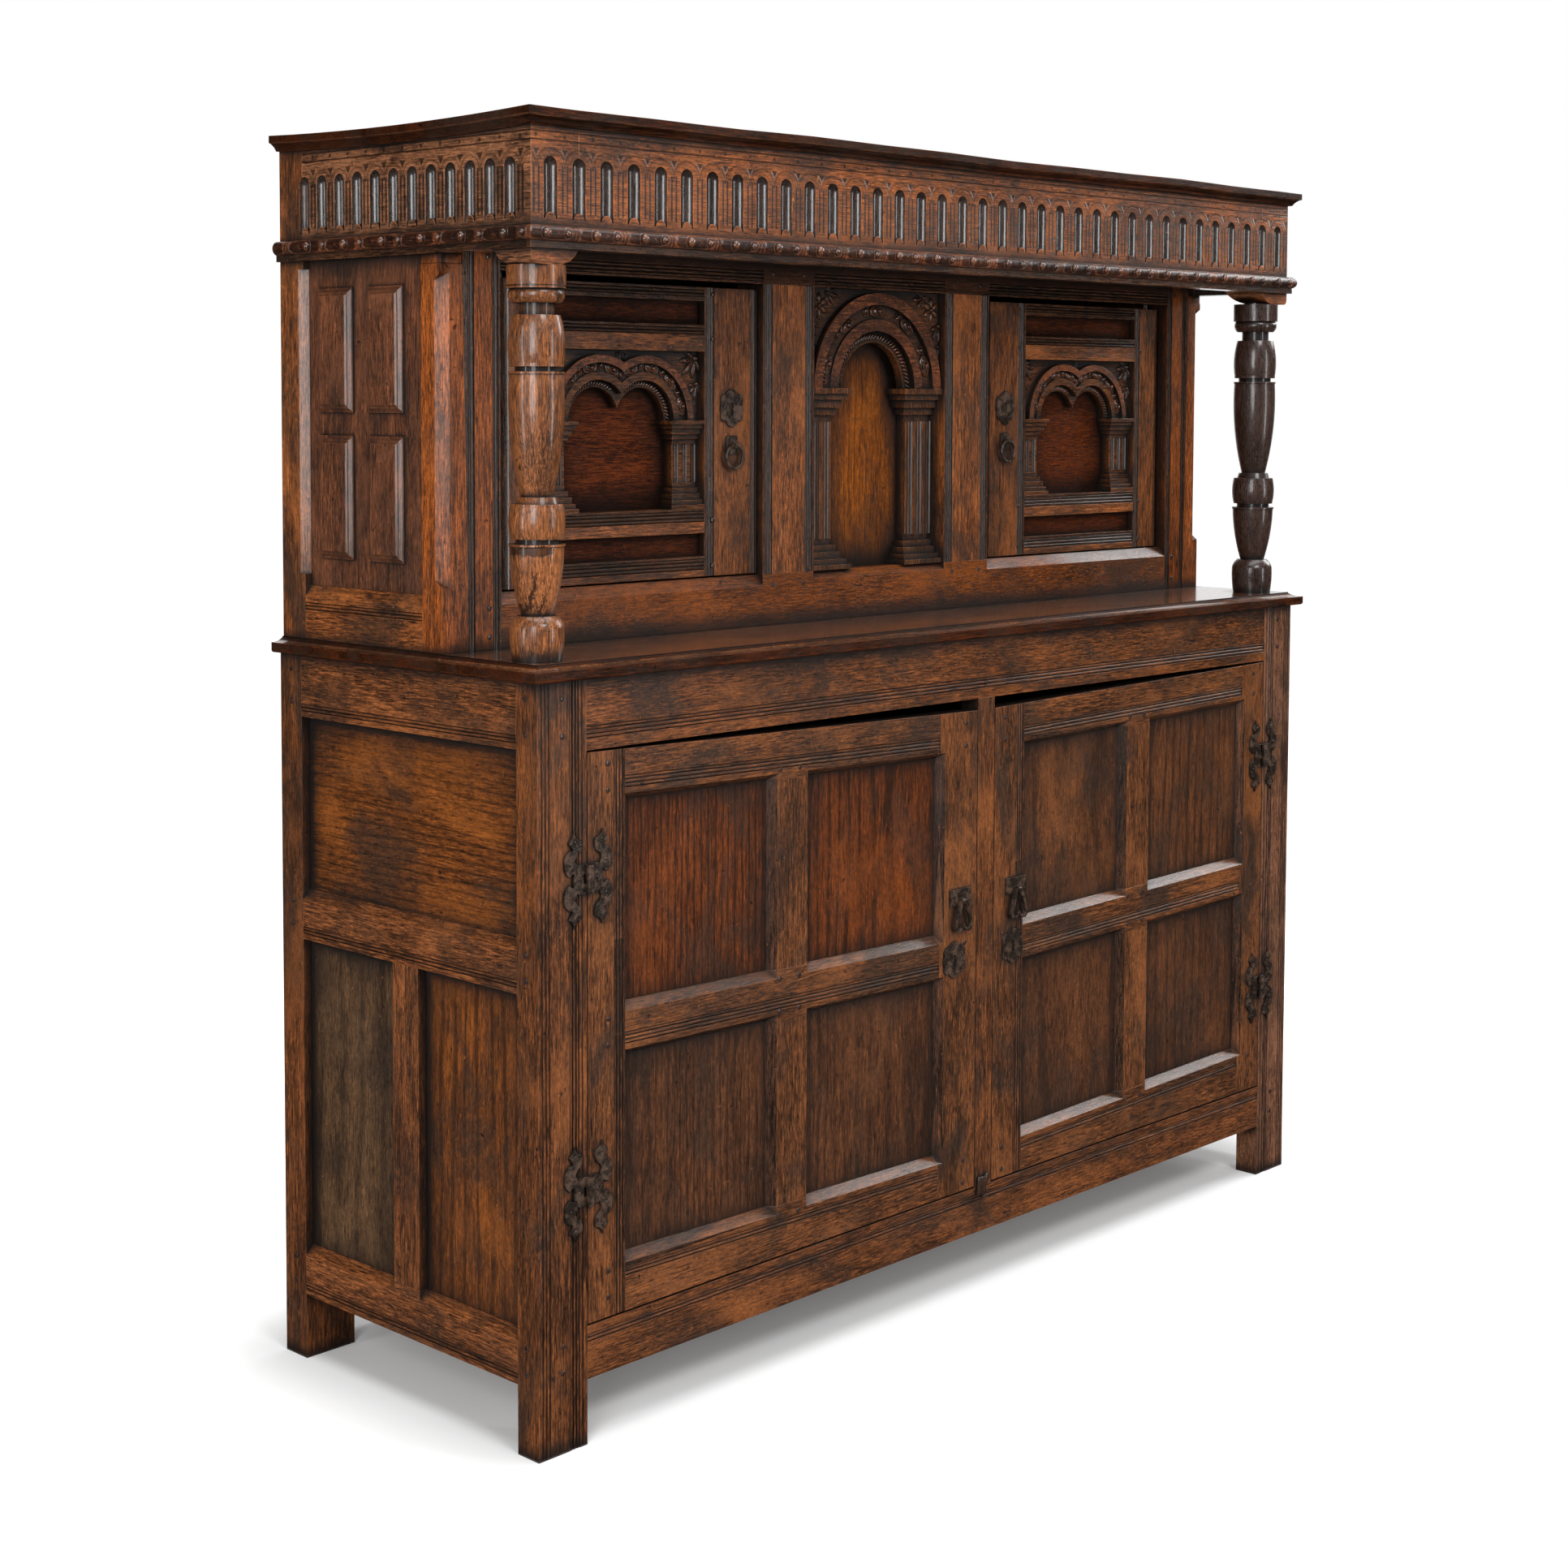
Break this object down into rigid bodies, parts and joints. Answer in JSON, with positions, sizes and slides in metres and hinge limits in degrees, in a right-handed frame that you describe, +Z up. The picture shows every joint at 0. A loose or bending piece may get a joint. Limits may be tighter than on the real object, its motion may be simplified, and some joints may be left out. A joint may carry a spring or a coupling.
{
  "type": "court cupboard",
  "caption": "Joined oak court cupboard: panelled lower stage with doors, a set back upper stage with doors beside a carved arch, and a fluted canopy on turned balusters.",
  "frame": {"origin": "on the floor, under the middle of the whole piece", "axes": "+X to the right as seen from the front, +Y to the back, +Z up"},
  "size_m": [1.628, 0.522, 1.586],
  "materials": {
    "frame_oak": "waxed dark reddish brown oak",
    "panel_oak": "waxed dark oak, finer figure",
    "board_oak": "waxed dark oak boards with worn edges",
    "carved_oak": "waxed carved oak, dark in the hollows",
    "turned_oak": "polished turned oak",
    "wrought_iron": "dark forged iron"
  },
  "bodies": {
    "carcase": {"bead_mouldings": "carved_oak", "canopy_corner_blocks": "carved_oak", "canopy_soffit_boards": "board_oak", "centre_arch": "carved_oak", "centre_panel": "panel_oak", "centre_pilasters": "carved_oak", "frieze_front_board": "carved_oak", "frieze_side_boards": "carved_oak", "left_baluster": "turned_oak", "lower_back_boards": "board_oak", "lower_back_rails": "frame_oak", "lower_back_stiles": "frame_oak", "lower_centre_muntin": "frame_oak", "lower_floor_boards": "board_oak", "lower_front_bottom_rail": "frame_oak", "lower_front_left_stile": "frame_oak", "lower_front_right_stile": "frame_oak", "lower_front_top_rail": "frame_oak", "lower_hinge_frame_leaves": "wrought_iron", "lower_left_side_panels": "panel_oak", "lower_left_side_rails": "frame_oak", "lower_right_side_panels": "panel_oak", "lower_right_side_rails": "frame_oak", "lower_side_muntins": "frame_oak", "mid_board": "board_oak", "right_baluster": "turned_oak", "top_board": "board_oak", "upper_back_boards": "board_oak", "upper_back_stiles": "frame_oak", "upper_door_pivot_pins": "wrought_iron", "upper_front_head_rail": "frame_oak", "upper_front_left_stile": "frame_oak", "upper_front_right_stile": "frame_oak", "upper_front_sill_rail": "frame_oak", "upper_left_side_panel": "panel_oak", "upper_muntins": "frame_oak", "upper_right_side_panel": "panel_oak", "upper_side_sill_rails": "frame_oak"},
    "lower_left_door": {"lower_left_door_frame": "frame_oak", "lower_left_door_panels": "panel_oak", "lower_left_door_hinge_leaves": "wrought_iron", "lower_left_handle_plates": "wrought_iron"},
    "lower_right_door": {"lower_right_door_frame": "frame_oak", "lower_right_door_panels": "panel_oak", "lower_right_door_hinge_leaves": "wrought_iron", "lower_right_handle_plates": "wrought_iron"},
    "upper_left_door": {"upper_left_door_frame": "frame_oak", "upper_left_door_panels": "panel_oak", "upper_left_door_arches": "carved_oak", "upper_left_handle_plates": "wrought_iron"},
    "upper_right_door": {"upper_right_door_frame": "frame_oak", "upper_right_door_panels": "panel_oak", "upper_right_door_arches": "carved_oak", "upper_right_handle_plates": "wrought_iron"},
    "lower_left_drop": {"lower_left_drop_loop": "wrought_iron"},
    "lower_right_drop": {"lower_right_drop_loop": "wrought_iron"},
    "upper_left_pull": {"upper_left_ring": "wrought_iron"},
    "upper_right_pull": {"upper_right_ring": "wrought_iron"}
  },
  "joints": [
    {"name": "lower_left_door_hinge", "type": "hinge", "parent": "carcase", "child": "lower_left_door", "pos_m": [-0.72325, -0.2524, 0.498], "axis": [0, 0, -1], "range_deg": [0, 110]},
    {"name": "lower_right_door_hinge", "type": "hinge", "parent": "carcase", "child": "lower_right_door", "pos_m": [0.72325, -0.2524, 0.498], "axis": [0, 0, 1], "range_deg": [0, 110]},
    {"name": "upper_left_door_pivot", "type": "hinge", "parent": "carcase", "child": "upper_left_door", "pos_m": [-0.681, -0.037, 1.208], "axis": [0, 0, -1], "range_deg": [0, 90]},
    {"name": "upper_right_door_pivot", "type": "hinge", "parent": "carcase", "child": "upper_right_door", "pos_m": [0.681, -0.037, 1.208], "axis": [0, 0, 1], "range_deg": [0, 90]},
    {"name": "lower_left_drop_swing", "type": "hinge", "parent": "lower_left_door", "child": "lower_left_drop", "pos_m": [-0.0335, -0.254, 0.559], "axis": [-1, 0, 0], "range_deg": [0, 80]},
    {"name": "lower_right_drop_swing", "type": "hinge", "parent": "lower_right_door", "child": "lower_right_drop", "pos_m": [0.0895, -0.254, 0.559], "axis": [-1, 0, 0], "range_deg": [0, 80]},
    {"name": "upper_left_ring_swing", "type": "hinge", "parent": "upper_left_door", "child": "upper_left_pull", "pos_m": [-0.294, -0.064, 1.19], "axis": [-1, 0, 0], "range_deg": [0, 80]},
    {"name": "upper_right_ring_swing", "type": "hinge", "parent": "upper_right_door", "child": "upper_right_pull", "pos_m": [0.294, -0.064, 1.19], "axis": [-1, 0, 0], "range_deg": [0, 80]}
  ]
}
